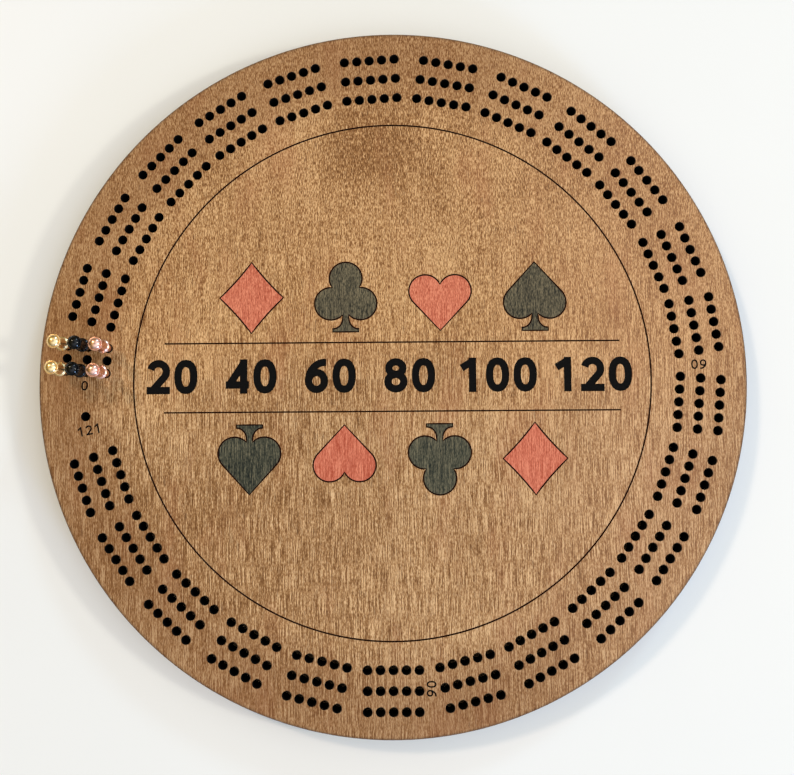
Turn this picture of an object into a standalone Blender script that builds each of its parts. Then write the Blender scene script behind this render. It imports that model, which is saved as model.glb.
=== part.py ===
"""A round cribbage board: a drilled face panel glued on a plain base panel, and six metal pegs.

Metres, +Z up. The origin is the middle of the underside, on the surface that the board rests on.
"""

import math

import bpy
from mathutils import Vector

# The board: two plywood discs, one on the other.
BOARD_DIAMETER = 0.254
FACE_THICKNESS = 0.0092
BASE_THICKNESS = 0.0032
GLUE_GAP = 0.0003
EDGE_CHAMFER = 0.0004
RIM_SIDES = 96

# The holes: three tracks, in blocks of five rows. The blocks are set round the lap by hand, so each
# has its own angle, clockwise from the start.
HOLE_DIAMETER = 0.0033
HOLE_SIDES = 6
EDGE_MARGIN = 0.00969
TRACK_SPACING = 0.00724
BLOCK_GAP = 0.0013
TRACKS = 3
BLOCK_ROWS = 5
START_ROWS = 3
UPPER_HALF_DEGREES = (164.0, 149.8, 135.7, 122.0, 107.9, 93.7, 79.5, 65.3, 51.4, 37.6, 23.1, 9.7)
LOWER_HALF_DEGREES = (
    -5.0, -19.2, -33.3, -47.1, -61.7, -75.8, -90.0, -104.2, -118.6, -133.0, -147.1, -160.9
)
START_DEGREES = 175.93
FINISH_DEGREES = -173.4
FINISH_OFFSET = 0.0007

# The pegs, whose heights are counted from the board's face.
PEG_TOP_HEIGHT = 0.0169
PEG_RIM_HEIGHT = 0.0155
PEG_RIM_BAND = 0.0003
PEG_WAIST_HEIGHT = 0.0108
PEG_COLLAR_HEIGHT = 0.0072
PEG_COLLAR_BAND = 0.0007
PEG_COLLAR_CONE = 0.0006
PEG_HEAD_DIAMETER = 0.0049
PEG_COLLAR_DIAMETER = 0.0049
PEG_WAIST_DIAMETER = 0.0025
PEG_CLEARANCE = 0.00012
PEG_TAPER = 0.00025
PEG_TIP_CHAMFER = 0.0004
PEG_TIP_CLEARANCE = 0.0003
PEG_SIDES = 16
DOME_POINTS = 3
FLARE_POINTS = 4

MERGE_DISTANCE = 0.00001

# What follows from them.
board_radius = BOARD_DIAMETER / 2
face_bottom = BASE_THICKNESS + GLUE_GAP
face_top = face_bottom + FACE_THICKNESS
outer_track = board_radius - EDGE_MARGIN
inner_track = outer_track - (TRACKS - 1) * TRACK_SPACING
middle_track = (outer_track + inner_track) / 2

# The two blocks that stand closest together set how far apart the rows of a block can be.
lap_degrees = UPPER_HALF_DEGREES + LOWER_HALF_DEGREES
closest_degrees = min(first - second for first, second in zip(lap_degrees, lap_degrees[1:]))
block_width = 2 * inner_track * math.tan(math.radians(closest_degrees / 2))
row_pitch = (block_width - BLOCK_GAP) / BLOCK_ROWS

# A hole's outline is a polygon with the area of the round hole.
corner_ratio = math.sqrt(2 * math.pi / (HOLE_SIDES * math.sin(2 * math.pi / HOLE_SIDES)))
hole_corner_radius = HOLE_DIAMETER / 2 * corner_ratio
hole_flat_radius = hole_corner_radius * math.cos(math.pi / HOLE_SIDES)
shank_radius = hole_flat_radius - PEG_CLEARANCE
peg_depth = FACE_THICKNESS + GLUE_GAP - PEG_TIP_CLEARANCE


def linear(level):
    """One channel of a colour as a screen shows it, from 0 to 255, as Blender's linear value."""
    share = level / 255
    return share / 12.92 if share <= 0.04045 else ((share + 0.055) / 1.055) ** 2.4


def make_material(name, red, green, blue, roughness, metallic):
    material = bpy.data.materials.new(name)
    material.use_nodes = True
    shader = material.node_tree.nodes["Principled BSDF"]
    colour = (linear(red), linear(green), linear(blue), 1)
    shader.inputs["Base Color"].default_value = colour
    shader.inputs["Roughness"].default_value = roughness
    shader.inputs["Metallic"].default_value = metallic
    material.diffuse_color = colour
    return material


def clear_scene():
    for obj in list(bpy.data.objects):
        bpy.data.objects.remove(obj, do_unlink=True)


def new_collection(name):
    collection = bpy.data.collections.new(name)
    bpy.context.scene.collection.children.link(collection)
    return collection


def outward(degrees):
    """The unit vector from the middle of the board towards this angle."""
    return Vector((math.cos(math.radians(degrees)), math.sin(math.radians(degrees))))


def onward(degrees):
    """The unit vector along the lap at this angle, in the direction of play, which is clockwise."""
    return Vector((math.sin(math.radians(degrees)), -math.cos(math.radians(degrees))))


def block_holes(degrees, rows):
    """The centres of a block's holes, row by row, with the outermost track first."""
    centres = []
    for row in range(rows):
        along = (row - (rows - 1) / 2) * row_pitch
        for track in range(TRACKS):
            out = outer_track - track * TRACK_SPACING
            centres.append(out * outward(degrees) + along * onward(degrees))
    return centres


def all_blocks():
    """The angle and the number of rows of every block: the start, then the 24 of the lap."""
    return [(START_DEGREES, START_ROWS)] + [(degrees, BLOCK_ROWS) for degrees in lap_degrees]


def add_outline(curve, centre, radius, sides, first_degrees):
    """A closed regular polygon in a flat curve."""
    spline = curve.splines.new("POLY")
    spline.points.add(sides - 1)
    for number, point in enumerate(spline.points):
        corner = centre + radius * outward(first_degrees + number * 360 / sides)
        point.co = (corner.x, corner.y, 0, 1)
    spline.use_cyclic_u = True


def make_face_panel(collection, material):
    """The upper disc, with every peg hole cut right through it."""
    curve = bpy.data.curves.new("face_panel", "CURVE")
    curve.dimensions = "2D"
    curve.fill_mode = "BOTH"
    curve.extrude = FACE_THICKNESS / 2
    add_outline(curve, Vector((0, 0)), board_radius, RIM_SIDES, 0)
    for degrees, rows in all_blocks():
        for centre in block_holes(degrees, rows):
            add_outline(curve, centre, hole_corner_radius, HOLE_SIDES, degrees)
    finish = (middle_track + FINISH_OFFSET) * outward(FINISH_DEGREES)
    add_outline(curve, finish, hole_corner_radius, HOLE_SIDES, FINISH_DEGREES)
    curve.materials.append(material)
    panel = bpy.data.objects.new("face_panel", curve)
    panel.location = (0, 0, face_bottom + FACE_THICKNESS / 2)
    collection.objects.link(panel)
    return panel


def make_base_panel(collection, material):
    """The lower disc, which closes the holes from below."""
    bpy.ops.mesh.primitive_cylinder_add(
        vertices=RIM_SIDES,
        radius=board_radius,
        depth=BASE_THICKNESS,
        location=(0, 0, BASE_THICKNESS / 2),
    )
    panel = bpy.context.object
    panel.name = panel.data.name = "base_panel"
    for owner in list(panel.users_collection):
        owner.objects.unlink(panel)
    collection.objects.link(panel)
    panel.data.materials.append(material)
    chamfer = panel.modifiers.new("edge_chamfer", "BEVEL")
    chamfer.width = EDGE_CHAMFER
    chamfer.segments = 1
    chamfer.limit_method = "ANGLE"
    return panel


def flare(rim_radius, rim_height, waist_radius, waist_height):
    """A cove from a rim to the waist: square to the axis at the rim, along it at the waist."""
    points = []
    for number in range(FLARE_POINTS + 1):
        turn = math.pi / 2 * number / FLARE_POINTS
        radius = waist_radius + (rim_radius - waist_radius) * (1 - math.sin(turn))
        height = waist_height + (rim_height - waist_height) * math.cos(turn)
        points.append((radius, height))
    return points


def peg_profile():
    """The peg's outer side from the top of its dome to its tip, as radius and height."""
    head = PEG_HEAD_DIAMETER / 2
    waist = PEG_WAIST_DIAMETER / 2
    collar = PEG_COLLAR_DIAMETER / 2
    tip = shank_radius - PEG_TAPER
    dome_rise = PEG_TOP_HEIGHT - PEG_RIM_HEIGHT
    points = [(0, PEG_TOP_HEIGHT)]
    for number in range(1, DOME_POINTS + 1):
        turn = math.pi / 2 * number / DOME_POINTS
        points.append((head * math.sin(turn), PEG_RIM_HEIGHT + dome_rise * math.cos(turn)))
    points += flare(head, PEG_RIM_HEIGHT - PEG_RIM_BAND, waist, PEG_WAIST_HEIGHT)
    points += reversed(flare(collar, PEG_COLLAR_HEIGHT, waist, PEG_WAIST_HEIGHT)[:-1])
    points += [
        (collar, PEG_COLLAR_HEIGHT - PEG_COLLAR_BAND),
        (shank_radius, PEG_COLLAR_HEIGHT - PEG_COLLAR_BAND - PEG_COLLAR_CONE),
        (tip, PEG_TIP_CHAMFER - peg_depth),
        (tip - PEG_TIP_CHAMFER, -peg_depth),
        (0, -peg_depth),
    ]
    return points


def make_peg(name, place, collection, material):
    """A turned peg, with its origin on its own axis at the level of the board's face."""
    points = peg_profile()
    mesh = bpy.data.meshes.new(name)
    edges = [(number, number + 1) for number in range(len(points) - 1)]
    mesh.from_pydata([(radius, 0, height) for radius, height in points], edges, [])
    mesh.materials.append(material)
    peg = bpy.data.objects.new(name, mesh)
    peg.location = (place.x, place.y, face_top)
    collection.objects.link(peg)
    turning = peg.modifiers.new("turning", "SCREW")
    turning.steps = turning.render_steps = PEG_SIDES
    turning.use_merge_vertices = True
    turning.merge_threshold = MERGE_DISTANCE
    turning.use_smooth_shade = True
    return peg


def make_pegs(collection):
    """Each player's two pegs, in the first and last rows of the start block."""
    finishes = (
        ("gold", make_material("gold_plate", 226, 196, 128, 0.15, 1)),
        ("black", make_material("black_plate", 24, 25, 28, 0.2, 1)),
        ("copper", make_material("copper_plate", 226, 160, 138, 0.15, 1)),
    )
    start = block_holes(START_DEGREES, START_ROWS)
    last_row = (START_ROWS - 1) * TRACKS
    for track, (colour, material) in enumerate(finishes):
        make_peg(f"{colour}_back_peg", start[track], collection, material)
        make_peg(f"{colour}_front_peg", start[last_row + track], collection, material)


def main():
    clear_scene()
    board = new_collection("cribbage_board")
    stained = make_material("stained_face", 181, 137, 92, 0.5, 0)
    bare = make_material("bare_plywood", 206, 174, 132, 0.65, 0)
    make_face_panel(board, stained)
    make_base_panel(board, bare)
    make_pegs(board)


main()
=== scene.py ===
# %% [markdown]
# A round cribbage board, seen from above. The board is two plywood discs glued together: the
# upper one is stained, drilled with peg holes and scored with a circle, two lines and the card
# suits. Six polished metal pegs stand in the start holes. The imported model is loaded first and
# stays where it is, and every piece below is made in its frame, in metres.

# %% Load the frame
import math

import bmesh
import bpy
from mathutils import Matrix, Vector


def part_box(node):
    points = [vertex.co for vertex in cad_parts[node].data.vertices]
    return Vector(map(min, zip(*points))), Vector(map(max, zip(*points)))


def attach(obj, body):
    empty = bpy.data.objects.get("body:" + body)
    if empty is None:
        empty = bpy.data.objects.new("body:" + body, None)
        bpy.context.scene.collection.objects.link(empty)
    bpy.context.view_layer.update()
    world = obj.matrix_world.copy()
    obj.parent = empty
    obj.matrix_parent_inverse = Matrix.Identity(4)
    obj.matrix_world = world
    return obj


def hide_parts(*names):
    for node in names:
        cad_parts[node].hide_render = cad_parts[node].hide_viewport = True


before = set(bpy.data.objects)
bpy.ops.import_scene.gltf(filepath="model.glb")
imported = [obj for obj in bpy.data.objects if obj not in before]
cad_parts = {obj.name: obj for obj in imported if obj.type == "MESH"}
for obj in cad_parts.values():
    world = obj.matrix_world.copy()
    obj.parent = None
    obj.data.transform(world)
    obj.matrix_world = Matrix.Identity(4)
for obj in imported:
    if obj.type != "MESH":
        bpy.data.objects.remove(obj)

MM = 0.001
scene = bpy.context.scene
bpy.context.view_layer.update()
print("nodes:", ", ".join(sorted(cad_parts)))

# %% [markdown]
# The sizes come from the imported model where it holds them: the boards' radius and levels, and
# the axis of each peg. The holes are laid out as the board's maker would: three tracks, in
# blocks of five rows that stand square to the radius, each block at its own angle on the lap.

# %% Read the sizes
face_low, face_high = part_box("face_panel")
base_low, base_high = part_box("base_panel")
board_radius = face_high.x
face_top = face_high.z
base_top = base_high.z

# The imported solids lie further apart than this, so that they don't touch.
GLUE_LINE = 0.05 * MM
EDGE_MARGIN = 9.69 * MM
TRACK_SPACING = 7.24 * MM
ROW_PITCH = 4.572 * MM
HOLE_DIAMETER = 3.3 * MM
TRACKS = 3
BLOCK_ROWS = 5
START_ROWS = 3
UPPER_HALF_DEGREES = (
    164.0, 149.8, 135.7, 122.0, 107.9, 93.7, 79.5, 65.3, 51.4, 37.6, 23.1, 9.7
)
LOWER_HALF_DEGREES = (
    -5.0, -19.2, -33.3, -47.1, -61.7, -75.8, -90.0, -104.2, -118.6, -133.0, -147.1, -160.9
)
START_DEGREES = 175.93
FINISH_DEGREES = -173.4
FINISH_OFFSET = 0.7 * MM

outer_track = board_radius - EDGE_MARGIN
inner_track = outer_track - (TRACKS - 1) * TRACK_SPACING
middle_track = (outer_track + inner_track) / 2
print(f"board radius {board_radius / MM:.1f} mm, tracks at {inner_track / MM:.1f} to "
      f"{outer_track / MM:.1f} mm")

# %% Place the holes
def outward(degrees):
    """The unit vector from the board's middle towards this angle."""
    return Vector((math.cos(math.radians(degrees)), math.sin(math.radians(degrees)), 0))


def onward(degrees):
    """The unit vector along the lap at this angle, clockwise, as the play goes."""
    return Vector((math.sin(math.radians(degrees)), -math.cos(math.radians(degrees)), 0))


def block_holes(degrees, rows):
    """The centres of a block's holes, row by row, outermost track first."""
    centres = []
    for row in range(rows):
        along = (row - (rows - 1) / 2) * ROW_PITCH
        for track in range(TRACKS):
            out = outer_track - track * TRACK_SPACING
            centres.append(out * outward(degrees) + along * onward(degrees))
    return centres


hole_centres = block_holes(START_DEGREES, START_ROWS)
hole_centres.append((middle_track + FINISH_OFFSET) * outward(FINISH_DEGREES))
for degrees in UPPER_HALF_DEGREES + LOWER_HALF_DEGREES:
    hole_centres += block_holes(degrees, BLOCK_ROWS)
print(len(hole_centres), "holes")

# %% [markdown]
# The camera comes before the pieces. It hangs almost straight above the board, a little towards
# the player. Its place and its three small turns were solved from where the holes lie in the
# picture.

# %% Hang the camera
IMAGE_WIDTH = 794
FOCAL_PIXELS = 1000
SENSOR_WIDTH = 36
CAMERA_PLACE = Vector((6.5 * MM, -27.4 * MM, 357.8 * MM))
TILT_DEGREES = (-3.89, -0.73, 0.42)


def turn(degrees, axis):
    """A turn about the X, Y or Z axis."""
    return Matrix.Rotation(math.radians(degrees), 4, axis)


camera_data = bpy.data.cameras.new("camera")
camera = bpy.data.objects.new("camera", camera_data)
scene.collection.objects.link(camera)
scene.camera = camera
camera_data.sensor_width = SENSOR_WIDTH
camera_data.lens = FOCAL_PIXELS * SENSOR_WIDTH / IMAGE_WIDTH
camera_data.clip_start = 10 * MM
into_camera = turn(TILT_DEGREES[2], "Z") @ turn(TILT_DEGREES[1], "Y") @ turn(TILT_DEGREES[0], "X")
stand = CAMERA_PLACE + Vector((0, 0, face_top))
camera.matrix_world = Matrix.Translation(stand) @ into_camera.transposed()
print(f"camera {stand.z / MM:.0f} mm above the table, lens {camera_data.lens:.1f} mm")

# %% [markdown]
# Blender's operators act on whatever is selected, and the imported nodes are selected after
# loading. These helpers do what a hand does with the mouse: pick one object, pick faces or edges
# by where they are, cut one mesh with another, or copy it. A face looks up when its normal's z is
# over the share below.

# %% Helpers for modelling
UPRIGHT = 0.9


def pick_object(piece, *others):
    """Selects these objects alone and makes the first one active."""
    bpy.ops.object.select_all(action="DESELECT")
    for obj in (piece, *others):
        obj.select_set(True)
    bpy.context.view_layer.objects.active = piece


def pick(kind, piece, test):
    """In edit mode, selects the faces or edges that pass the test, and nothing else."""
    bpy.ops.mesh.select_mode(type=kind)
    bpy.ops.mesh.select_all(action="DESELECT")
    shape = bmesh.from_edit_mesh(piece.data)
    for item in {"FACE": shape.faces, "EDGE": shape.edges}[kind]:
        item.select_set(test(item))
    bmesh.update_edit_mesh(piece.data)


def give_material(piece, slot, test):
    """In edit mode, gives a material slot to the faces that pass the test."""
    pick("FACE", piece, test)
    piece.active_material_index = slot
    bpy.ops.object.material_slot_assign()


def settle(piece):
    """Puts the object's place and turn into its mesh, so that the object sits at the origin."""
    pick_object(piece)
    bpy.ops.object.transform_apply(location=True, rotation=True, scale=True)


def cut_away(piece, cutter):
    """Cuts a closed mesh from a piece and deletes it. The cut faces keep the cutter's material."""
    cut = piece.modifiers.new("cut", "BOOLEAN")
    cut.operation = "DIFFERENCE"
    cut.solver = "EXACT"
    cut.material_mode = "TRANSFER"
    cut.object = cutter
    pick_object(piece)
    bpy.ops.object.modifier_apply(modifier=cut.name)
    bpy.data.objects.remove(cutter, do_unlink=True)


def copy_to(piece, place):
    """A copy of a piece at this place, with its own mesh."""
    copy = piece.copy()
    copy.data = piece.data.copy()
    copy.data.transform(Matrix.Translation(place))
    scene.collection.objects.link(copy)
    return copy


def copies_at(piece, places, name):
    """Copies a piece to each place and joins the copies with it, as one object."""
    made = [piece] + [copy_to(piece, place) for place in places[1:]]
    piece.data.transform(Matrix.Translation(places[0]))
    pick_object(*made)
    bpy.ops.object.join()
    piece.name = piece.data.name = name
    return piece


print("modelling helpers ready")

# %% [markdown]
# A material is a tree of nodes. Drawing it in code is easier to read when the maths is written as
# maths, so a small class wraps an output socket: adding or multiplying two of them adds the Math
# node that does it. Any other node is added by name, with its settings and its inputs. The room's
# light is such a tree too, so what both need has a class of its own.

# %% Helpers for materials
def linear(level):
    """A screen's colour level, from 0 to 255, as the linear value that Blender wants."""
    share = level / 255
    return share / 12.92 if share <= 0.04045 else ((share + 0.055) / 1.055) ** 2.4


def colour(red, green, blue):
    """A colour as a screen shows it, for a node."""
    return (linear(red), linear(green), linear(blue), 1)


class Wire:
    """The output of a node, which Python's operators work on."""

    def __init__(self, wiring, socket):
        self.wiring = wiring
        self.socket = socket

    def __add__(self, other):
        return self.wiring.maths("ADD", self, other)

    def __radd__(self, other):
        return self.wiring.maths("ADD", other, self)

    def __sub__(self, other):
        return self.wiring.maths("SUBTRACT", self, other)

    def __rsub__(self, other):
        return self.wiring.maths("SUBTRACT", other, self)

    def __mul__(self, other):
        return self.wiring.maths("MULTIPLY", self, other)

    def __rmul__(self, other):
        return self.wiring.maths("MULTIPLY", other, self)

    def between(self, low, high):
        """0 below the low value and 1 above the high one, with a smooth step between them."""
        inputs = {"Value": self, "From Min": low, "From Max": high}
        return self.wiring.node("MapRange", {"interpolation_type": "SMOOTHSTEP"}, inputs)


class Wiring:
    """A tree of nodes that is being put together."""

    def __init__(self, tree):
        self.tree = tree

    def feed(self, socket, value):
        """Links a wire to a socket, or sets the socket to a plain value."""
        if isinstance(value, Wire):
            self.tree.links.new(value.socket, socket)
        else:
            socket.default_value = value

    def node(self, kind, settings=None, inputs=None, output=0):
        """Adds a node, sets what it is told, feeds its sockets and returns one output."""
        made = self.tree.nodes.new("ShaderNode" + kind)
        for name, value in (settings or {}).items():
            setattr(made, name, value)
        for name, value in (inputs or {}).items():
            self.feed(made.inputs[name], value)
        return Wire(self, made.outputs[output])

    def maths(self, operation, *numbers):
        return self.node("Math", {"operation": operation}, dict(enumerate(numbers)))

    def mix(self, share, first, second, blend="MIX"):
        """Blends two colours: the first alone at a share of 0, the second alone at 1."""
        settings = {"data_type": "RGBA", "blend_type": blend}
        return self.node("Mix", settings, {0: share, 6: first, 7: second}, output=2)


class Finish(Wiring):
    """A material that is being put together."""

    def __init__(self, name):
        self.material = bpy.data.materials.new(name)
        self.material.use_nodes = True
        self.shader = self.material.node_tree.nodes["Principled BSDF"]
        super().__init__(self.material.node_tree)

    def place(self, *stretch):
        """Where a point is, in millimetres, with each axis squeezed by its share."""
        here = self.node("TexCoord", output="Object")
        scaled = tuple(share / MM for share in stretch)
        return self.node("VectorMath", {"operation": "MULTIPLY"}, {0: here, 1: scaled})

    def apart(self, place):
        """The three numbers of a place."""
        split = self.node("SeparateXYZ", None, {0: place}).socket.node
        return tuple(Wire(self, socket) for socket in split.outputs)

    def distance(self, place, centre):
        """How far a place is from a centre, in the millimetres of the place."""
        return self.node("VectorMath", {"operation": "DISTANCE"}, {0: place, 1: centre}, output=1)

    def noise(self, place, size, detail, roughness=0.5):
        """Noise whose spots are about this size, in the millimetres of the place."""
        inputs = {"Vector": place, "Scale": 1 / size, "Detail": detail, "Roughness": roughness}
        return self.node("TexNoise", None, inputs)

    def bump(self, height, depth):
        """Makes the surface look raised by this depth, in metres, where the height is 1."""
        inputs = {"Height": height, "Strength": 1.0, "Distance": depth}
        self.feed(self.shader.inputs["Normal"], self.node("Bump", None, inputs))

    def set(self, **values):
        """Feeds the shader's sockets, named with _ in place of a blank."""
        for name, value in values.items():
            socket = name.replace("_", " ").title().replace("Ior", "IOR")
            self.feed(self.shader.inputs[socket], value)
        return self.material


print("middle grey on a screen is", round(linear(128), 3), "as a linear value")

# %% [markdown]
# The face is a thin veneer with its grain running from top to bottom. Its fibres are only a
# quarter of a millimetre wide, and three noises of different length make them: flecks, threads
# and long streaks. All of it is stretched along the grain by squeezing the y axis. The streaks
# are strongest near the bottom, and the flecks gradually take over towards the top, where the
# cut crosses the grain. Over the fibres lie slow bands, large patches and dark pores. Two soft
# dark patches are painted shade: the camera's shadow above the middle, and shade at the lower
# left. Sizes are in millimetres, and a tone is 0 for dark wood and 1 for light wood.

# %% Choose the grain
# Each noise's stretch along the grain, its width across it, its detail and its roughness.
FIBRE_WIDTH = 0.26
FLECKS = (4.2, FIBRE_WIDTH, 2, 0.6)
THREADS = (9.7, FIBRE_WIDTH, 1, 0.5)
STREAKS = (36, FIBRE_WIDTH, 1, 0.5)
BANDS = (15, 1.9, 3, 0.6)
PORES = (7, 0.8, 1, 0.5)

FLECK_SHARE = 0.6
STREAKS_BELOW = -15
FLECKS_ABOVE = 105
SHORT_SHARE_LOW = 0.6
SHORT_SHARE_GAIN = 0.35
WAVER_SIZE = 24
WAVER_SQUEEZE = 0.3
WAVER = 6.0
PATCH_SIZE = 34
PATCH_SHIFT = 50.0
PORE_STEP = (0.68, 0.76)
UPPER_HALF = (-26, 22)
# Painted shade: the camera's shadow above the middle, and shade at the lower left.
UPPER_PAINTED_SHADE = {"x": -8, "y": 85.33, "flatness": 1.5, "core": 8, "reach": 30, "depth": 0.25}
LOWER_PAINTED_SHADE = {"x": -62, "y": -52, "flatness": 1, "core": 14, "reach": 46, "depth": 0.09}
TONE_LEVEL = 0.14
FIBRE_CONTRAST = 6.0
BAND_CONTRAST = 0.75
PATCH_CONTRAST = 0.45
UPPER_LIFT = 0.05
PORE_TONE = 0.6


class Grain:
    """The grain of the face: how light each fibre is, and the masks that the colours need."""

    def __init__(self, finish):
        self.finish = finish
        here = finish.place(1, 1, 1)
        across, self.along, _ = finish.apart(here)
        waver = finish.noise(finish.place(1, WAVER_SQUEEZE, 0), WAVER_SIZE, detail=1)
        self.across = across + waver * WAVER
        self.patches = finish.noise(here, PATCH_SIZE, detail=2)
        self.pores = self.stretched(*PORES).between(*PORE_STEP)
        height = self.along + (self.patches - 0.5) * PATCH_SHIFT
        self.upper = height.between(*UPPER_HALF)
        self.tone = TONE_LEVEL + (self.fibres(height) - 0.5) * FIBRE_CONTRAST + self.slow_tone()

    def stretched(self, stretch, width, detail, roughness):
        """Noise of this width across the grain, drawn out along it."""
        squeezed = {"X": self.across, "Y": self.along * (1 / stretch), "Z": 0.0}
        place = self.finish.node("CombineXYZ", None, squeezed)
        return self.finish.noise(place, width, detail, roughness)

    def fibres(self, height):
        """Short fibres and long streaks, with a larger share of short ones further up."""
        streaks = self.stretched(*STREAKS)
        threads = self.stretched(*THREADS) * (1 - FLECK_SHARE)
        short = self.stretched(*FLECKS) * FLECK_SHARE + threads
        climb = height.between(STREAKS_BELOW, FLECKS_ABOVE)
        return streaks + (short - streaks) * (climb * SHORT_SHARE_GAIN + SHORT_SHARE_LOW)

    def painted_shade(self, x, y, flatness, core, reach, depth):
        """0 in the core of a patch of painted shade, rising to this depth where the patch ends."""
        place = self.finish.place(1, flatness, 0)
        away = self.finish.distance(place, (x, y * flatness, 0))
        return away.between(core, reach) * depth

    def slow_tone(self):
        """What changes slowly: bands, patches, painted shade and the lighter upper half."""
        bands = (self.stretched(*BANDS) - 0.5) * BAND_CONTRAST
        patches = (self.patches - 0.5) * PATCH_CONTRAST
        # The painted shade above the middle and at the lower left.
        painted_shades = self.painted_shade(**UPPER_PAINTED_SHADE) + self.painted_shade(**LOWER_PAINTED_SHADE)
        return bands + patches + painted_shades + self.upper * UPPER_LIFT


print(f"fibres {FIBRE_WIDTH} mm wide, streaks about {FIBRE_WIDTH * STREAKS[0]:.0f} mm long")

# %% [markdown]
# The stain is darker or lighter with each fibre's tone, goes reddish in blotches and is more
# golden in the upper half. On the right the wood is rosier. Towards the edge it is darker, less so
# on the right. The beam's smoke has browned it close to each hole, which the holes' cutter,
# further down, carries as an attribute named smoke, and in a thin line along the rim. The suits
# have the same grain with a stain over it that hides less of the light fibres, so that the grain
# runs through them, and they are a little duller than the wood.

# %% Stain the veneer
WOOD_DARK = colour(108, 66, 24)
WOOD_MIDDLE = colour(169, 123, 76)
WOOD_LIGHT = colour(227, 186, 139)
WOOD_RED = colour(164, 104, 68)
PORE_BROWN = colour(80, 50, 26)
EDGE_BROWN = colour(112, 64, 24)
SMOKE_BROWN = colour(44, 26, 14)
ROSY_VENEER = colour(210, 156, 120)
GOLDEN_TINT = (1.0, 0.94, 0.84, 1)
DARK_TO_MIDDLE = (-0.1, 0.62)
MIDDLE_TO_LIGHT = (0.38, 1.1)
BLOTCHES = (3, 16, 3, 0.5)
BLOTCH_STEP = (0.5, 0.72)
BLOTCH_SHARE = 0.3
PORE_SHARE = 0.5
RIGHT_SIDE = (20, 105)
ROSY_SHARE = 0.16
EDGE_START = 36
EDGE_END = 12
EDGE_DARKENING = 0.42
RIGHT_RELIEF = 0.75
RIM_LINE_START = 1.2
RIM_LINE_END = 0.2
RIM_SMOKE = 0.55
SMOKE_LEAST = 0.7
SMOKE_UNEVEN = 0.3


def stained_wood(finish, grain):
    """The colour of the stained wood, with the browned edges of the holes and the rim."""
    wood = finish.mix(grain.tone.between(*DARK_TO_MIDDLE), WOOD_DARK, WOOD_MIDDLE)
    wood = finish.mix(grain.tone.between(*MIDDLE_TO_LIGHT), wood, WOOD_LIGHT)
    redness = grain.stretched(*BLOTCHES).between(*BLOTCH_STEP)
    wood = finish.mix(redness * BLOTCH_SHARE, wood, WOOD_RED)
    wood = finish.mix(grain.upper, wood, GOLDEN_TINT, blend="MULTIPLY")
    wood = finish.mix(grain.pores * PORE_SHARE, wood, PORE_BROWN)
    right = grain.across.between(*RIGHT_SIDE)
    wood = finish.mix(right * ROSY_SHARE, wood, ROSY_VENEER)
    rim = board_radius / MM
    reach = finish.distance(finish.place(1, 1, 0), (0, 0, 0))
    edge = reach.between(rim - EDGE_START, rim - EDGE_END) * (1 - right * RIGHT_RELIEF)
    wood = finish.mix(edge * EDGE_DARKENING, wood, EDGE_BROWN)
    hole_smoke = finish.node("Attribute", {"attribute_name": "smoke"}, output=2)
    rim_smoke = reach.between(rim - RIM_LINE_START, rim - RIM_LINE_END) * RIM_SMOKE
    smoke = finish.maths("MAXIMUM", hole_smoke, rim_smoke)
    return finish.mix(smoke * (SMOKE_LEAST + grain.patches * SMOKE_UNEVEN), wood, SMOKE_BROWN)


print("dark wood, as linear values:", [round(level, 3) for level in WOOD_DARK[:3]])

# %% Make the face's three veneers
WOOD_GLOSS = 0.3
SUIT_GLOSS = 0.15
WOOD_DEPTH = 0.02 * MM
STAIN_STEP = (-0.3, 1.2)
UPPER_THINNING = 0.05
LIGHT_THINNING = 0.12


def stained_veneer(name, dark=None, light=None, cover=0.0, gloss=WOOD_GLOSS):
    """The veneer, with a stain over it that hides this much of it, and less on light fibres."""
    finish = Finish(name)
    grain = Grain(finish)
    wood = stained_wood(finish, grain)
    tone = grain.tone - grain.pores * PORE_TONE
    if cover:
        stain = finish.mix(tone.between(*STAIN_STEP), dark, light)
        hidden = cover - grain.upper * UPPER_THINNING - (tone - 0.5) * LIGHT_THINNING
        wood = finish.mix(hidden, wood, stain)
    finish.bump(tone, WOOD_DEPTH)
    return finish.set(base_color=wood, roughness=0.6 - tone * 0.1, specular_ior_level=gloss)


face_wood = stained_veneer("stained_veneer")
red_stain = stained_veneer(
    "red_stain", colour(168, 71, 48), colour(229, 124, 101), 0.87, SUIT_GLOSS
)
black_stain = stained_veneer(
    "black_stain", colour(20, 24, 22), colour(78, 86, 72), 0.94, SUIT_GLOSS
)
print("veneers:", face_wood.name, red_stain.name, black_stain.name)

# %% [markdown]
# The holes and lines are burnt into the wood, which leaves dull soot: almost black in the deep
# holes and dark brown in the shallow lines. The rim was cut in the same way, so its plies are
# toasted dark, and each second ply is darker because its fibres end there. The underside was
# never stained.

# %% Mix the burnt and bare wood
SOOT_GLOSS = 0.1
SOOT_SPOT = 0.6
SOOT_DEPTH = 0.02 * MM
PLY_DEPTH = 0.06 * MM
PLY_RAGGEDNESS = 0.12
BARE_DEPTH = 0.04 * MM
FACE_PLIES = 7
BASE_PLIES = 3


def soot(name, dark, brown):
    """Burnt wood: dull, and browner in spots."""
    finish = Finish(name)
    blotches = finish.noise(finish.place(1, 1, 1), SOOT_SPOT, detail=3)
    black = finish.mix(blotches.between(0.45, 0.8), dark, brown)
    finish.bump(blotches, SOOT_DEPTH)
    roughness = 0.9 - blotches * 0.15
    return finish.set(base_color=black, roughness=roughness, specular_ior_level=SOOT_GLOSS)


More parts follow.
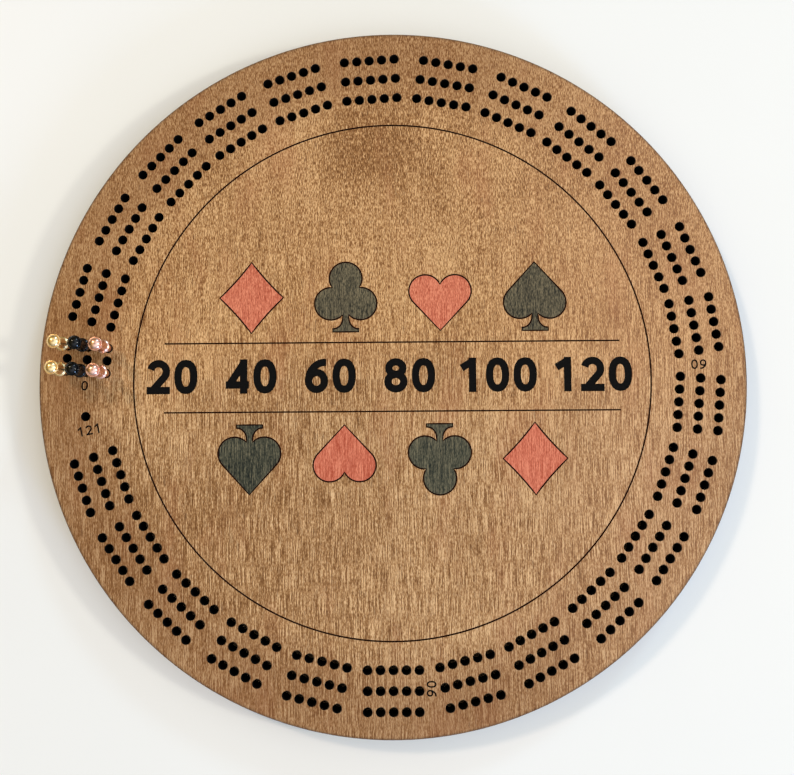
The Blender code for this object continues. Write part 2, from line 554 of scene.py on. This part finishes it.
def toasted_plies(name, plies, low, high):
    """Cut plywood: plies of equal thickness between two levels, each second one cut across."""
    finish = Finish(name)
    here = finish.place(1, 1, 1)
    level = finish.apart(here)[2]
    ragged = finish.noise(finish.place(1, 1, 0.2), 3, detail=3)
    count = (level - low / MM) * (plies * MM / (high - low)) + (ragged - 0.5) * PLY_RAGGEDNESS
    second = finish.maths("SINE", count * math.pi).between(-0.25, 0.25)
    fibre = finish.noise(finish.place(1, 1, 6), 1.6, detail=3, roughness=0.6)
    end = finish.mix(fibre, colour(44, 26, 13), colour(76, 48, 26))
    side = finish.mix(fibre, colour(78, 50, 26), colour(120, 82, 46))
    burnt = finish.noise(here, 9, detail=2).between(0.35, 0.75)
    wood = finish.mix(burnt * 0.55, finish.mix(second, end, side), colour(46, 27, 15))
    finish.bump(second * 0.6 + fibre * 0.4, PLY_DEPTH)
    return finish.set(base_color=wood, roughness=0.8 - fibre * 0.1)


def bare_veneer(name):
    """Sanded wood with no stain, with streaks and slow bands along its grain."""
    finish = Finish(name)
    streaks = finish.noise(finish.place(1, 0.1, 1), 1.1, detail=3, roughness=0.6)
    bands = finish.noise(finish.place(1, 0.06, 1), 14, detail=2)
    tone = (streaks - 0.5) * 1.3 + (bands - 0.5) * 0.8 + 0.5
    wood = finish.mix(tone.between(0.0, 1.0), colour(176, 132, 88), colour(226, 196, 152))
    finish.bump(tone, BARE_DEPTH)
    return finish.set(base_color=wood, roughness=0.75 - tone * 0.1)


hole_soot = soot("hole_soot", colour(8, 8, 9), colour(24, 18, 14))
score_soot = soot("score_soot", colour(28, 7, 1), colour(48, 17, 5))
fill_black = soot("number_fill", colour(9, 8, 8), colour(17, 15, 14))
face_rim = toasted_plies("toasted_face_plies", FACE_PLIES, face_low.z, face_high.z)
base_rim = toasted_plies("toasted_base_plies", BASE_PLIES, base_low.z, base_high.z)
bare_wood = bare_veneer("bare_veneer")
print("the rim shows", FACE_PLIES, "plies over", BASE_PLIES)

# %% [markdown]
# Each panel starts as a cylinder with many sides. Its two sharp edges get a small bevel, as
# sanding leaves them. The top is given one material, the rim the plies and the back the bare
# wood, each picked by which way its faces look.

# %% Turn two discs with sanded edges
RIM_SIDES = 288
FACE_BEVEL = 0.25 * MM
BASE_BEVEL = 0.4 * MM


def disc(name, low, high, bevel, top, rim, bottom):
    """A round panel between two levels, with a material for its top, its rim and its back."""
    bpy.ops.object.select_all(action="DESELECT")
    middle = (0, 0, (low + high) / 2)
    bpy.ops.mesh.primitive_cylinder_add(
        vertices=RIM_SIDES, radius=board_radius, depth=high - low, location=middle
    )
    piece = bpy.context.object
    piece.name = piece.data.name = name
    for material in (top, rim, bottom):
        piece.data.materials.append(material)
    bpy.ops.object.mode_set(mode="EDIT")
    pick("EDGE", piece, lambda edge: any(abs(face.normal.z) > UPRIGHT for face in edge.link_faces))
    bpy.ops.mesh.bevel(offset=bevel, segments=1)
    give_material(piece, 0, lambda face: face.normal.z > UPRIGHT)
    give_material(piece, 1, lambda face: abs(face.normal.z) <= UPRIGHT)
    give_material(piece, 2, lambda face: face.normal.z < -UPRIGHT)
    bpy.ops.object.mode_set(mode="OBJECT")
    settle(piece)
    return piece


face_panel = disc(
    "face_board", base_top + GLUE_LINE, face_top, FACE_BEVEL, face_wood, face_rim, bare_wood
)
base_panel = disc(
    "base_board", base_low.z, base_top, BASE_BEVEL, bare_wood, base_rim, bare_wood
)
print("discs:", len(face_panel.data.polygons), len(base_panel.data.polygons), "faces")

# %% [markdown]
# A scored line is a shallow round-bottomed groove. It is cut with a thin tube that lies half in
# the face: a torus for the circle and straight tubes for the two lines. The tubes lie a hair
# above the face, so that none of their edges falls in its plane.

# %% Score the circle and the two lines
CIRCLE_RADIUS = 92.86 * MM
CIRCLE_WIDTH = 0.62 * MM
LINE_WIDTH = 0.58 * MM
LINE_LENGTH = 163.7 * MM
LINE_LEVELS = (13.3 * MM, -11.6 * MM)
SCORE_LIFT = 0.03 * MM
CIRCLE_SIDES = 240
TUBE_SIDES = 8

bpy.ops.mesh.primitive_torus_add(
    major_radius=CIRCLE_RADIUS, minor_radius=CIRCLE_WIDTH / 2, major_segments=CIRCLE_SIDES,
    minor_segments=TUBE_SIDES, location=(0, 0, face_top + SCORE_LIFT),
)
circle = bpy.context.object
circle.data.materials.append(score_soot)
settle(circle)
cut_away(face_panel, circle)
for level in LINE_LEVELS:
    bpy.ops.mesh.primitive_cylinder_add(
        vertices=TUBE_SIDES, radius=LINE_WIDTH / 2, depth=LINE_LENGTH,
        location=(0, level, face_top + SCORE_LIFT), rotation=(0, math.pi / 2, 0),
    )
    line = bpy.context.object
    line.data.materials.append(score_soot)
    settle(line)
    cut_away(face_panel, line)
print("scored circle and lines:", len(face_panel.data.polygons), "faces")

# %% [markdown]
# The card suits are drawn from their middle, in millimetres, as half an outline that is mirrored.
# The lobes are arcs of circles, the sides are straight and touch the arcs, and the stems flare
# along a quarter of an ellipse.

# %% Draw the suits
LOBE_RADIUS = 5.9
LOBE_APART = 5.35
SUIT_HALF_HEIGHT = 12.9
DIAMOND_HALF_WIDTH = 11.5
DIAMOND_HOLLOW = 0.35
HEART_LOBE_LEVEL = 2.0
HEART_TIP_LEVEL = -12.4
SPADE_LOBE_LEVEL = -2.35
SPADE_TIP_LEVEL = 12.3
CLUB_TOP_LEVEL = 6.85
STEM_HALF_WIDTH = 1.08
STEM_FLARE_LEVEL = -7.4
FOOT_HALF_WIDTH = 4.7
FOOT_LEVEL = -12.6
FOOT_HEIGHT = 1.15
FOOT_STEP = 0.3
SIDE_STEPS = 6
FLARE_STEPS = 7
SAME_PLACE = 1e-6


def oval(centre, across, up, first=0, last=360, steps=20, fullness=2.0):
    """Points on an oval between two angles. More fullness makes its corners squarer."""
    points = []
    for number in range(steps + 1):
        angle = math.radians(first + (last - first) * number / steps)
        reach = []
        for share in (math.cos(angle), math.sin(angle)):
            reach.append(math.copysign(abs(share) ** (2 / fullness), share))
        points.append((centre[0] + across * reach[0], centre[1] + up * reach[1]))
    return points


def lobe(x, y, first, last, steps):
    """An arc of a lobe's circle, between two angles."""
    return oval((x, y), LOBE_RADIUS, LOBE_RADIUS, first, last, steps)


def touching_angle(tip_distance):
    """Where a straight line from a tip below the lobe touches it, as an angle on the lobe."""
    reach = math.hypot(LOBE_APART, tip_distance)
    lean = math.degrees(math.atan2(tip_distance, LOBE_APART) - math.asin(LOBE_RADIUS / reach))
    return lean - 90


def stem():
    """The right half of a stem: along its foot and up its flare to where the lobe starts."""
    top = FOOT_LEVEL + FOOT_HEIGHT
    flare_end = FOOT_HALF_WIDTH - FOOT_STEP
    across = flare_end - STEM_HALF_WIDTH
    points = [(0, FOOT_LEVEL), (FOOT_HALF_WIDTH, FOOT_LEVEL), (FOOT_HALF_WIDTH, top)]
    for number in range(FLARE_STEPS + 1):
        angle = math.pi / 2 * (1 - number / FLARE_STEPS)
        x = flare_end - across * math.cos(angle)
        y = STEM_FLARE_LEVEL - (STEM_FLARE_LEVEL - top) * math.sin(angle)
        points.append((x, y))
    return points


stem_angle = -90 - math.degrees(math.asin((LOBE_APART - STEM_HALF_WIDTH) / LOBE_RADIUS))


def diamond():
    """A diamond, whose four sides are a little hollow."""
    points = []
    side = math.hypot(DIAMOND_HALF_WIDTH, SUIT_HALF_HEIGHT)
    for number in range(SIDE_STEPS + 1):
        share = number / SIDE_STEPS
        hollow = DIAMOND_HOLLOW * math.sin(math.pi * share)
        x = DIAMOND_HALF_WIDTH * share - hollow * SUIT_HALF_HEIGHT / side
        y = SUIT_HALF_HEIGHT * (share - 1) + hollow * DIAMOND_HALF_WIDTH / side
        points.append((max(x, 0), y))
    return points + [(x, -y) for x, y in reversed(points[:-1])]


def heart():
    """A heart, from its tip up its straight side and round its lobe to the cleft."""
    touch = touching_angle(HEART_LOBE_LEVEL - HEART_TIP_LEVEL)
    cleft = math.degrees(math.acos(-LOBE_APART / LOBE_RADIUS))
    return [(0, HEART_TIP_LEVEL)] + lobe(LOBE_APART, HEART_LOBE_LEVEL, touch, cleft, 20)


def spade():
    """A spade: a stem, then a lobe and a straight side up to the tip."""
    touch = -touching_angle(SPADE_TIP_LEVEL - SPADE_LOBE_LEVEL)
    side = lobe(LOBE_APART, SPADE_LOBE_LEVEL, stem_angle, touch, 18)
    return stem() + side + [(0, SPADE_TIP_LEVEL)]


def club():
    """A club: a stem, a lobe at the side and one on top, which meet where their circles cross."""
    rise = CLUB_TOP_LEVEL - SPADE_LOBE_LEVEL
    apart = math.hypot(LOBE_APART, rise)
    lean = math.degrees(math.atan2(rise, -LOBE_APART))
    half = math.degrees(math.acos(apart / 2 / LOBE_RADIUS))
    side = lobe(LOBE_APART, SPADE_LOBE_LEVEL, stem_angle, lean - half, 20)
    top = lobe(0, CLUB_TOP_LEVEL, lean - 180 + half, 90, 12)
    return stem() + side + top


def whole(half):
    """Mirrors the right half of an outline, which runs from its lowest point to its highest."""
    return half + [(-x, y) for x, y in reversed(half) if abs(x) > SAME_PLACE]


print("a club has", len(whole(club())), "points")

# %% [markdown]
# Each outline becomes a closed curve with a round bevel, which is a tube, and cuts its groove.
# The faces that the groove fences off are then picked and get the stain. The upper row stands
# the right way up and the lower row is turned half round.

# %% Score and stain the suits
SUIT_SPACING = 34.05 * MM
SUIT_WIDTH = 0.6 * MM
UPPER_ROW = (0.64 * MM, 29.75 * MM)
LOWER_ROW = (0.06 * MM, -28.75 * MM)
SUIT_REACH = 1.2 * SUIT_HALF_HEIGHT * MM
upper_suits = ((diamond, red_stain), (club, black_stain), (heart, red_stain), (spade, black_stain))
lower_suits = ((spade, black_stain), (heart, red_stain), (club, black_stain), (diamond, red_stain))


def curve_along(points, dimensions, closed):
    """A curve with a corner at each of these points, picked and ready for its width."""
    curve = bpy.data.curves.new("stroke", "CURVE")
    curve.dimensions = dimensions
    spline = curve.splines.new("POLY")
    spline.points.add(len(points) - 1)
    for point, place in zip(spline.points, points):
        point.co = (*place, 1)
    spline.use_cyclic_u = closed
    path = bpy.data.objects.new("stroke", curve)
    scene.collection.objects.link(path)
    pick_object(path)
    return path


def tube_along(points, width):
    """A closed tube of this width along points of the face."""
    tube = curve_along(points, "3D", True)
    tube.data.bevel_depth = width / 2
    tube.data.bevel_resolution = 1
    bpy.ops.object.convert(target="MESH")
    return bpy.context.object


def add_suit(drawn, material, centre, upside_down):
    """Scores a suit's outline round this centre, and stains the face inside it."""
    way = -1 if upside_down else 1
    points = []
    for x, y in whole(drawn()):
        points.append(centre + Vector((way * x, way * y, 0)) * MM)
    groove = tube_along(points, SUIT_WIDTH)
    groove.data.materials.clear()
    groove.data.materials.append(score_soot)
    cut_away(face_panel, groove)
    if material.name not in face_panel.data.materials:
        face_panel.data.materials.append(material)
    pick_object(face_panel)
    bpy.ops.object.mode_set(mode="EDIT")

    def inside(face):
        near = all((corner.co - centre).length < SUIT_REACH for corner in face.verts)
        level = face.calc_center_median().z > face_top - SCORE_LIFT
        return near and level and face.normal.z > UPRIGHT

    give_material(face_panel, face_panel.data.materials.find(material.name), inside)
    bpy.ops.object.mode_set(mode="OBJECT")


for suits, (shift, level), upside_down in (
    (upper_suits, UPPER_ROW, False),
    (lower_suits, LOWER_ROW, True),
):
    for number, (drawn, material) in enumerate(suits):
        across = shift + (number - (len(suits) - 1) / 2) * SUIT_SPACING
        add_suit(drawn, material, Vector((across, level, face_top + SCORE_LIFT)), upside_down)
print("suits scored:", len(face_panel.data.polygons), "faces")

# %% [markdown]
# The holes are counted with plain numbers, in heavy figures in the band between the lines and in
# small thin ones beside the holes. A figure is drawn as a sign writer would, in strokes: each one
# is a path along the middle of the pen's line, in parts of the figure's height. Every figure is a
# few arcs and straight lines, so the same strokes serve both sizes. Only those that the board's
# numbers need are drawn.

# %% Draw the figures
FIGURE_WIDTH = 0.68
ZERO_FULLNESS = 2.3
ONE_SHIFT = 0.08
ONE_FLAG = (0.1, 0.7)
TWO_BOWL_LOW = 0.42
TWO_BOWL_ARC = (165, -38)
FOUR_BAR = 0.2
FOUR_MAST_INSET = 0.05
SIX_BOWL_TOP = 0.6
SIX_BACK_ARC = (180, 84)
EIGHT_WAIST = 0.53
EIGHT_UPPER_SHARE = 0.88


def figure_strokes(figure, pen):
    """A figure's strokes, one high, as paths. A path that ends where it began is a ring."""
    low, high = pen / 2, 1 - pen / 2
    left, right = pen / 2, FIGURE_WIDTH - pen / 2
    middle = FIGURE_WIDTH / 2
    half = right - middle
    if figure == "0":
        return [oval((middle, 0.5), half, high - 0.5, fullness=ZERO_FULLNESS)]
    if figure == "1":
        mast = middle + ONE_SHIFT
        return [[(mast, 0), (mast, 1)], [ONE_FLAG, (mast, high)]]
    if figure == "2":
        bowl_height = (high - TWO_BOWL_LOW) / 2
        bowl = oval((middle, high - bowl_height), half, bowl_height, *TWO_BOWL_ARC, 14)
        return [bowl + [(left + pen * 0.3, low)], [(0, low), (FIGURE_WIDTH, low)]]
    if figure == "4":
        bar = FOUR_BAR + pen * 0.25
        mast = right - FOUR_MAST_INSET
        slope = [(mast, high), (left, bar)]
        return [[(mast, 0), (mast, 1)], [(0, bar), (FIGURE_WIDTH, bar)], slope]
    if figure == "6":
        bowl_height = (SIX_BOWL_TOP - low) / 2
        centre_height = low + bowl_height
        bowl = oval((middle, centre_height), half, bowl_height)
        back_height = high - centre_height
        back = oval((right, centre_height), right - left, back_height, *SIX_BACK_ARC, 12)
        return [bowl, back]
    if figure == "8":
        upper_middle = (middle, (EIGHT_WAIST + high) / 2)
        lower_middle = (middle, (low + EIGHT_WAIST) / 2)
        upper = oval(upper_middle, half * EIGHT_UPPER_SHARE, (high - EIGHT_WAIST) / 2)
        return [upper, oval(lower_middle, half, (EIGHT_WAIST - low) / 2)]
    if figure == "9":
        turned = []
        for path in figure_strokes("6", pen):
            turned.append([(FIGURE_WIDTH - x, 1 - y) for x, y in path])
        return turned


print("an 8 has", len(figure_strokes("8", 0.2)), "strokes")

# %% [markdown]
# Each stroke becomes a flat curve, which Blender can pull up into a strip, and the Solidify
# modifier makes a wall of it as thick as the pen. Cutting the walls away one after another leaves
# one shallow recess with a black floor.

# %% Cut the numbers
# A hand is the figures' height, then the pen's width and the step to the next figure, in heights.
HEAVY_HAND = (12.4 * MM, 0.215, 0.8)
THIN_HAND = (3.5 * MM, 0.16, 0.88)
NUMBER_DEPTH = 0.25 * MM
OVERRUN = 1 * MM
BAND_LEVEL = 1.3 * MM
BAND_PLACES = (
    (-79.0, "20"), (-50.5, "40"), (-22.0, "60"), (6.5, "80"), (38.0, "100"), (72.0, "120")
)
START_LABEL = Vector((-110.6, -1.6, 0)) * MM
FINISH_LABEL = Vector((-108.8, -17.6, 0)) * MM
FINISH_LABEL_TURN = 12
RIGHT_LABEL_DEGREES = 2.35
LOW_LABEL_DEGREES = -83.0


def wall_along(points, width, low, high, to_face):
    """A closed wall of this width along a path, from one level to another."""
    ring = (Vector(points[0]) - Vector(points[-1])).length < SAME_PLACE
    if ring:
        points = points[:-1]
    wall = curve_along([to_face @ Vector((*point, 0)) for point in points], "2D", ring)
    wall.data.fill_mode = "NONE"
    wall.data.extrude = (high - low) / 2
    wall.location.z = (low + high) / 2
    bpy.ops.object.convert(target="MESH")
    wall = bpy.context.object
    thick = wall.modifiers.new("pen", "SOLIDIFY")
    thick.thickness = width
    thick.offset = 0
    thick.use_even_offset = True
    bpy.ops.object.modifier_apply(modifier=thick.name)
    settle(wall)
    bpy.ops.object.mode_set(mode="EDIT")
    bpy.ops.mesh.select_all(action="SELECT")
    bpy.ops.mesh.normals_make_consistent(inside=False)
    bpy.ops.object.mode_set(mode="OBJECT")
    return wall


def cut_number(figures, place, turned, hand):
    """Cuts a number into the face, with its middle at this place."""
    height, pen, advance = hand
    length = (len(figures) - 1) * advance + FIGURE_WIDTH
    to_face = Matrix.Translation(place) @ turn(turned, "Z") @ Matrix.Scale(height, 4)
    for number, figure in enumerate(figures):
        start = Matrix.Translation((number * advance - length / 2, -0.5, 0))
        for path in figure_strokes(figure, pen):
            wall = wall_along(
                path, pen * height, face_top - NUMBER_DEPTH, face_top + OVERRUN, to_face @ start
            )
            wall.data.materials.append(fill_black)
            cut_away(face_panel, wall)


for across, figures in BAND_PLACES:
    centre = Vector((across * MM, BAND_LEVEL, 0))
    cut_number(figures, centre, 0, HEAVY_HAND)
for figures, centre, turned in (
    ("0", START_LABEL, START_DEGREES - 180),
    ("121", FINISH_LABEL, FINISH_LABEL_TURN),
    ("60", middle_track * outward(RIGHT_LABEL_DEGREES), 180),
    ("90", middle_track * outward(LOW_LABEL_DEGREES), 90),
):
    cut_number(figures, centre, turned, THIN_HAND)
print("numbers cut:", len(face_panel.data.polygons), "faces")

# %% [markdown]
# All the peg holes are alike: a straight bore whose mouth is a little wider, where the beam ate
# the edge. Round it the smoke browned the wood, less and less over half a millimetre. A cutter is
# modelled, copied to every place and cut away in one go. Its top step is almost flat, so that it
# takes off only a hair of wood there, and its corners carry the smoke attribute, 1 at the mouth
# and 0 at the outer edge, which the cut hands on to the board. The base panel closes the holes.

# %% Burn the peg holes
HOLE_SIDES = 20
MOUTH_DEPTH = 0.12 * MM
MOUTH_WIDENING = 0.07 * MM
SMOKE_REACH = 0.6 * MM
SMOKE_SINK = 0.01 * MM

bore_radius = HOLE_DIAMETER / 2
bore_depth = face_top - MOUTH_DEPTH - base_top + OVERRUN
bore_middle = Vector((0, 0, face_top - MOUTH_DEPTH - bore_depth / 2))
bpy.ops.mesh.primitive_cylinder_add(
    vertices=HOLE_SIDES, radius=bore_radius, depth=bore_depth, location=bore_middle
)
bore = bpy.context.object
bore.data.materials.append(hole_soot)
settle(bore)
bpy.ops.object.mode_set(mode="EDIT")
pick("FACE", bore, lambda face: face.normal.z > UPRIGHT)
smoke_steps = (
    (bore_radius + MOUTH_WIDENING, MOUTH_DEPTH - SMOKE_SINK),
    (bore_radius + MOUTH_WIDENING + SMOKE_REACH, 2 * SMOKE_SINK),
    (bore_radius + MOUTH_WIDENING + SMOKE_REACH, OVERRUN),
)
ring_radius = bore_radius
for wider, climb in smoke_steps:
    bpy.ops.mesh.extrude_region_move(TRANSFORM_OT_translate={"value": (0, 0, climb)})
    share = wider / ring_radius
    bpy.ops.transform.resize(value=(share, share, 1))
    ring_radius = wider
bore.data.materials.append(face_wood)
give_material(bore, 1, lambda face: face.calc_center_median().z > face_top - SMOKE_SINK)
bpy.ops.object.mode_set(mode="OBJECT")
smoke = bore.data.attributes.new("smoke", "FLOAT", "POINT")
for corner, value in zip(bore.data.vertices, smoke.data):
    value.value = 1.0 if corner.co.z < face_top else 0.0
bores = copies_at(bore, hole_centres, "bores")
cut_away(face_panel, bores)
print("face board with holes:", len(face_panel.data.polygons), "faces")

# %% [markdown]
# The rim and the bores are made of flat sides. Smooth shading hides that, except at edges that
# turn by more than the angle below. Each board is then put under its body, and its imported
# node is hidden.

# %% Finish the two boards
SMOOTH_DEGREES = 20

for panel in (face_panel, base_panel):
    pick_object(panel)
    bpy.ops.object.shade_smooth_by_angle(angle=math.radians(SMOOTH_DEGREES))
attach(face_panel, "board")
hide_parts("face_panel")
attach(base_panel, "board")
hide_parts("base_panel")
print("face board finished:", len(face_panel.data.polygons), "faces")

# %% [markdown]
# A peg is turned from one rod: a domed head, a narrow waist, a dished collar and a shank that
# tapers into the hole. The dome stands inside a small bead along the head's edge, with a fine
# groove between them. The peg is modelled from its tip upwards. The first circle is filled, and
# each step extrudes its face to the next level and scales it to the radius there.

# %% Turn the pegs
PEG_SIDES = 64
PEG_RIM_HEIGHT = 15.5 * MM
PEG_WAIST_HEIGHT = 10.8 * MM
PEG_COLLAR_HEIGHT = 7.2 * MM
PEG_COLLAR_BAND = 0.7 * MM
PEG_COLLAR_CONE = 0.6 * MM
PEG_WAIST_RADIUS = 1.25 * MM
PEG_TIP_CHAMFER = 0.4 * MM
SHANK_RADIUS = 1.45 * MM
SHANK_TAPER = 0.25 * MM
ROUNDING = 0.12 * MM
BEAD_RADIUS = 0.2 * MM
GROOVE_WIDTH = 0.06 * MM
DOME_LEAN = 50
DOME_TIP_RADIUS = 0.04 * MM
PEG_SMOOTH_DEGREES = 40

peg_low, peg_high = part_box("gold_back_peg")
peg_head_radius = (peg_high.x - peg_low.x) / 2
peg_top_height = peg_high.z - face_top
peg_tip_height = peg_low.z - face_top


def cove(rim_radius, rim_height, steps=8):
    """Stations from the waist to a rim: along the axis at the waist, square to it at the rim."""
    stations = []
    for number in range(steps + 1):
        angle = math.pi / 2 * number / steps
        radius = PEG_WAIST_RADIUS + (rim_radius - PEG_WAIST_RADIUS) * (1 - math.cos(angle))
        height = PEG_WAIST_HEIGHT + (rim_height - PEG_WAIST_HEIGHT) * math.sin(angle)
        stations.append((radius, height))
    return stations


def bead(level, steps=10):
    """A half-round bead along the head's edge, from its outer side over its top to the groove."""
    stations = []
    for number in range(steps + 1):
        angle = math.pi * number / steps
        out = peg_head_radius - BEAD_RADIUS + BEAD_RADIUS * math.cos(angle)
        stations.append((out, level + BEAD_RADIUS * math.sin(angle)))
    return stations


def dome(level, steps=9):
    """The dome, from its foot in the groove, up a short step and over in one round to its top."""
    foot = peg_head_radius - 2 * BEAD_RADIUS - GROOVE_WIDTH
    round_radius = foot / math.sin(math.radians(DOME_LEAN))
    stations = [(foot, level)]
    for number in range(steps):
        lean = math.radians(DOME_LEAN * (1 - number / steps))
        drop = round_radius * (1 - math.cos(lean))
        stations.append((round_radius * math.sin(lean), peg_top_height - drop))
    return stations + [(DOME_TIP_RADIUS, peg_top_height)]


tip_radius = SHANK_RADIUS - SHANK_TAPER
collar_low = PEG_COLLAR_HEIGHT - PEG_COLLAR_BAND
stations = [
    (tip_radius - PEG_TIP_CHAMFER, peg_tip_height),
    (tip_radius, peg_tip_height + PEG_TIP_CHAMFER),
    (SHANK_RADIUS, collar_low - PEG_COLLAR_CONE),
    (peg_head_radius - ROUNDING, collar_low),
    (peg_head_radius, collar_low + ROUNDING),
    (peg_head_radius, PEG_COLLAR_HEIGHT - ROUNDING),
]
bead_level = PEG_RIM_HEIGHT - 2 * ROUNDING
stations += reversed(cove(peg_head_radius - ROUNDING, PEG_COLLAR_HEIGHT))
stations += cove(peg_head_radius - ROUNDING, bead_level - ROUNDING)[1:]
stations += bead(bead_level) + dome(bead_level)

bpy.ops.mesh.primitive_circle_add(
    vertices=PEG_SIDES, radius=stations[0][0], fill_type="NGON",
    location=(0, 0, face_top + stations[0][1]),
)
peg_blank = bpy.context.object
settle(peg_blank)
bpy.ops.object.mode_set(mode="EDIT")
bpy.ops.mesh.select_all(action="SELECT")
for (radius, height), (wider, higher) in zip(stations, stations[1:]):
    bpy.ops.mesh.extrude_region_move(TRANSFORM_OT_translate={"value": (0, 0, higher - height)})
    share = wider / radius
    centre = (0, 0, face_top + higher)
    bpy.ops.transform.resize(value=(share, share, 1), center_override=centre)
bpy.ops.mesh.select_all(action="SELECT")
bpy.ops.mesh.normals_make_consistent(inside=False)
bpy.ops.object.mode_set(mode="OBJECT")
bpy.ops.object.shade_smooth_by_angle(angle=math.radians(PEG_SMOOTH_DEGREES))
print("peg blank:", len(peg_blank.data.polygons), "faces")

# %% [markdown]
# The pegs are plated, so they show mostly what is around them: the gold and copper ones softly,
# with a satin polish, and the black ones, whose plate is a glossy lacquer, in small sharp glints.
# Handling leaves the plate a little uneven, which is a slow change in roughness, and the lathe
# leaves a faint ripple.

# %% Plate the pegs
SATIN = 0.24
GLOSSY = 0.03
HANDLED_SPOT = 2.2
HANDLED_SHARE = 0.35
HANDLED_ROUGHNESS = 0.08
RIPPLE_DEPTH = 0.004 * MM


def plate(name, base, smear, metallic, polish, gloss):
    """A plating with this polish, a little uneven where it has been handled."""
    finish = Finish(name)
    handled = finish.noise(finish.place(1, 1, 1), HANDLED_SPOT, detail=3)
    rings = finish.noise(finish.place(0.15, 0.15, 3), 1.0, detail=1)
    metal = finish.mix(handled.between(0.4, 0.8) * HANDLED_SHARE, base, smear)
    finish.bump(rings, RIPPLE_DEPTH)
    roughness = polish + handled * HANDLED_ROUGHNESS
    return finish.set(
        base_color=metal, roughness=roughness, metallic=metallic, specular_ior_level=gloss
    )


plates = {
    "gold": plate("gold_plate", colour(255, 222, 164), colour(242, 198, 136), 1.0, SATIN, 0.5),
    "black": plate("black_plate", colour(5, 6, 8), colour(12, 13, 15), 0.0, GLOSSY, 0.3),
    "copper": plate("copper_plate", colour(250, 200, 178), colour(238, 178, 152), 1.0, SATIN, 0.5),
}
for tint, material in plates.items():
    for place in ("back", "front"):
        node = f"{tint}_{place}_peg"
        low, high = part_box(node)
        middle = (low + high) / 2
        peg = copy_to(peg_blank, (middle.x, middle.y, 0))
        peg.name = peg.data.name = f"{tint}_{place}_turned_peg"
        peg.data.materials.append(material)
        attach(peg, f"{tint}_{place}")
        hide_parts(node)
        print(peg.name, "at", [round(axis / MM, 1) for axis in middle[:2]])
bpy.data.objects.remove(peg_blank, do_unlink=True)

# %% [markdown]
# The board lies on a plain pale table, with four lamps round it. The side lamp, on the right,
# throws a soft shadow to the left. The warm lamp, high on the upper left, throws a short one to
# the lower right, and the bluish window at the upper right a long faint one to the lower left.
# The low bluish window at the lower right is what glints in the pegs, and where the board hides
# it from the table, at the upper left, the shadow is warm.

# %% Set the table
TABLE_SIZE = 14
TABLE_SPOT = 60

bpy.ops.object.select_all(action="DESELECT")
bpy.ops.mesh.primitive_plane_add(size=TABLE_SIZE, location=(0, 0, 0))
table = bpy.context.object
table.name = "table"
table_finish = Finish("pale_table")
table_tone = table_finish.noise(table_finish.place(1, 1, 1), TABLE_SPOT, detail=2)
pale = table_finish.mix(table_tone, colour(240, 239, 237), colour(243, 242, 240))
table.data.materials.append(table_finish.set(base_color=pale, roughness=0.5))
print("table", TABLE_SIZE, "m wide")

# %% Hang the lamps
# Each lamp's name, its place and its width in metres, its watts and its tint.
LAMPS = (
    ("side_lamp", (1.33, -0.094, 1.08), 0.18, 6.3, (1.0, 0.96, 0.8)),
    ("warm_lamp", (-1.295, 1.166, 2.025), 0.3, 17.4, (1.0, 0.8, 0.6)),
    ("back_window", (0.984, 1.704, 1.09), 0.3, 9.2, (0.5, 0.75, 1.0)),
    ("low_window", (1.156, -1.54, 0.625), 0.34, 14.2, (0.36, 0.58, 1.0)),
)

for name, place, width, watts, tint in LAMPS:
    lamp_data = bpy.data.lights.new(name, "AREA")
    lamp_data.size = width
    lamp_data.energy = watts
    lamp_data.color = tint
    lamp = bpy.data.objects.new(name, lamp_data)
    scene.collection.objects.link(lamp)
    lamp.location = place
    lamp.rotation_euler = (-Vector(place)).to_track_quat("-Z", "Y").to_euler()
print("lamps:", [lamp.name for lamp in bpy.data.lights])

# %% [markdown]
# The room's own light is bright overhead and dark towards the walls, which the polished domes
# show as a dark ring. Straight overhead, where the camera hides the ceiling, it is dim again. It
# is cool on most sides, and warm and weaker on the warm lamp's side. The nodes ask how far the
# view turns towards an axis. Colours are shown as they are, with no film look over them.

# %% Light the room
WALL_LIGHT = 0.3
WALL_TOP = 0.4
CEILING_START = 0.85
OVERHEAD_SPOT = (0.95, 0.99)
OVERHEAD_SHADE = 0.8
COOL_CEILING = (1.29, 1.45, 1.72, 1)
WARM_CEILING = (0.6, 0.47, 0.14, 1)
WARM_SIDE_DEGREES = 154
WARM_FADE = (-0.7, 0.7)
UPWARD = (0, 0, 1)

world = bpy.data.worlds.new("white_room")
scene.world = world
world.use_nodes = True
background = world.node_tree.nodes["Background"]
room = Wiring(world.node_tree)
view = room.node("TexCoord", output="Generated")


def towards(axis, low, high):
    """How far the view turns towards an axis: 0 below the low share of it, 1 above the high."""
    inputs = {0: view, 1: axis}
    along = room.node("VectorMath", {"operation": "DOT_PRODUCT"}, inputs, output="Value")
    return along.between(low, high)


climb = towards(UPWARD, WALL_TOP, CEILING_START) * (1 - WALL_LIGHT) + WALL_LIGHT
strength = climb - towards(UPWARD, *OVERHEAD_SPOT) * OVERHEAD_SHADE
warmth = towards(outward(WARM_SIDE_DEGREES), *WARM_FADE)
room.feed(background.inputs["Strength"], strength)
room.feed(background.inputs["Color"], room.mix(warmth, COOL_CEILING, WARM_CEILING))
scene.view_settings.view_transform = "Standard"
print(f"room light {WALL_LIGHT} at the walls, 1 above, {1 - OVERHEAD_SHADE:.1f} straight overhead")
